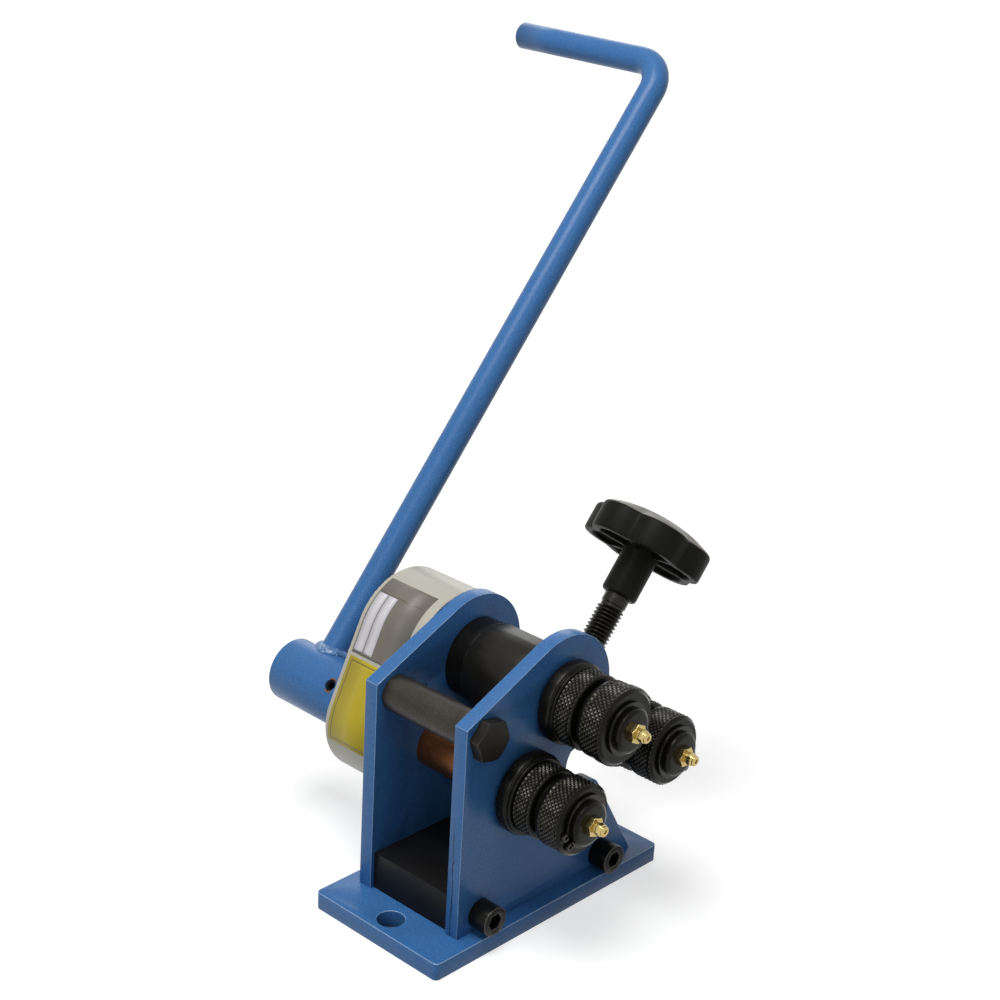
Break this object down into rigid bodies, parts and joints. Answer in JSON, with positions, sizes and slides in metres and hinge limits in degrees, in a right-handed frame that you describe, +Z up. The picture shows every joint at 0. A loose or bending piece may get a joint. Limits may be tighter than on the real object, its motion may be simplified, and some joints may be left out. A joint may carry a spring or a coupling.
{
  "type": "angle roll bender",
  "caption": "Hand-cranked bench roll bender with geared driven rolls, a swinging third roll set by a knob-headed screw, and slots for angle bar.",
  "frame": {"origin": "middle of the two base bolt holes, on the underside of the base", "axes": "+X along the base towards the third roll, +Y along the shafts towards the crank, +Z up"},
  "size_m": [0.2955, 0.2861, 0.3537],
  "materials": {
    "blue_paint": "gloss enamel",
    "black_oxide_steel": "black oxide, oiled",
    "black_screws": "black oxide",
    "bare_steel": "turned, oiled",
    "zinc_screws": "bright zinc",
    "bronze": "turned bronze",
    "brass": "turned brass",
    "grey_paint": "semi-gloss enamel",
    "black_plastic": "satin"
  },
  "bodies": {
    "frame": {"base_plate": "blue_paint", "front_side_plate": "blue_paint", "rear_side_plate": "blue_paint", "spacer_block": "black_oxide_steel", "block_screws": "black_screws", "base_screws": "bare_steel", "stop_block": "bare_steel", "stop_screws": "black_screws", "tie_tube": "bare_steel", "tie_bolt": "black_screws", "lower_bush": "bronze", "upper_bushes": "bronze", "arm_washer": "black_oxide_steel", "gear_cover": "grey_paint", "cover_screws": "zinc_screws"},
    "lower_roll_drive": {"lower_shaft": "bare_steel", "lower_flange": "black_oxide_steel", "lower_ring": "black_oxide_steel", "lower_slot_ring": "black_oxide_steel", "lower_sleeve": "black_oxide_steel", "lower_clip": "bare_steel", "lower_nipple": "brass", "lower_gear": "bare_steel", "lower_key": "bare_steel", "crank_hub": "blue_paint", "crank_rod": "blue_paint", "crank_weld": "blue_paint", "crank_set_screw": "black_screws"},
    "upper_roll_drive": {"upper_shaft": "bare_steel", "upper_flange": "black_oxide_steel", "upper_ring": "black_oxide_steel", "upper_slot_ring": "black_oxide_steel", "upper_sleeve": "black_oxide_steel", "upper_clip": "bare_steel", "upper_nipple": "brass", "upper_gear": "bare_steel", "upper_key": "bare_steel"},
    "swing_arm": {"swing_arm": "black_oxide_steel", "arm_bush": "bronze", "third_bush": "bronze"},
    "third_roller": {"third_shaft": "bare_steel", "third_flange": "black_oxide_steel", "third_ring": "black_oxide_steel", "third_slot_ring": "black_oxide_steel", "third_sleeve": "black_oxide_steel", "third_clip": "bare_steel", "third_nipple": "brass", "third_rear_clip": "bare_steel"},
    "thrust_foot": {"thrust_foot": "bare_steel"},
    "adjusting_screw": {"adjusting_screw": "bare_steel", "adjusting_knob": "black_plastic"}
  },
  "joints": [
    {"name": "lower_spin", "type": "hinge", "parent": "frame", "child": "lower_roll_drive", "pos_m": [-0.0171, 0, 0.0709], "axis": [0, 1, 0], "continuous": true},
    {"name": "upper_spin", "type": "hinge", "parent": "frame", "child": "upper_roll_drive", "pos_m": [0.00706, 0, 0.10768], "axis": [0, 1, 0], "continuous": true},
    {"name": "arm_swing", "type": "hinge", "parent": "frame", "child": "swing_arm", "pos_m": [0.00706, 0, 0.10768], "axis": [0, -1, 0], "range_deg": [-26, 4]},
    {"name": "third_spin", "type": "hinge", "parent": "swing_arm", "child": "third_roller", "pos_m": [0.04349, 0, 0.08301], "axis": [0, 1, 0], "continuous": true},
    {"name": "screw_feed", "type": "slide", "parent": "swing_arm", "child": "thrust_foot", "axis": [0.6455, 0, 0.7638], "range_m": [-0.00425, 0.02755]},
    {"name": "knob_turn", "type": "hinge", "parent": "thrust_foot", "child": "adjusting_screw", "pos_m": [0.05342, 0.01255, 0.0685], "axis": [0.6455, 0, 0.7638], "range_deg": [-763.3, 4958.6]}
  ],
  "couplings": [
    {"joint": "upper_spin", "follows": "lower_spin", "ratio": -1},
    {"joint": "screw_feed", "follows": "arm_swing", "m_per_rad": -0.060701},
    {"joint": "knob_turn", "follows": "arm_swing", "ratio": -190.7}
  ]
}
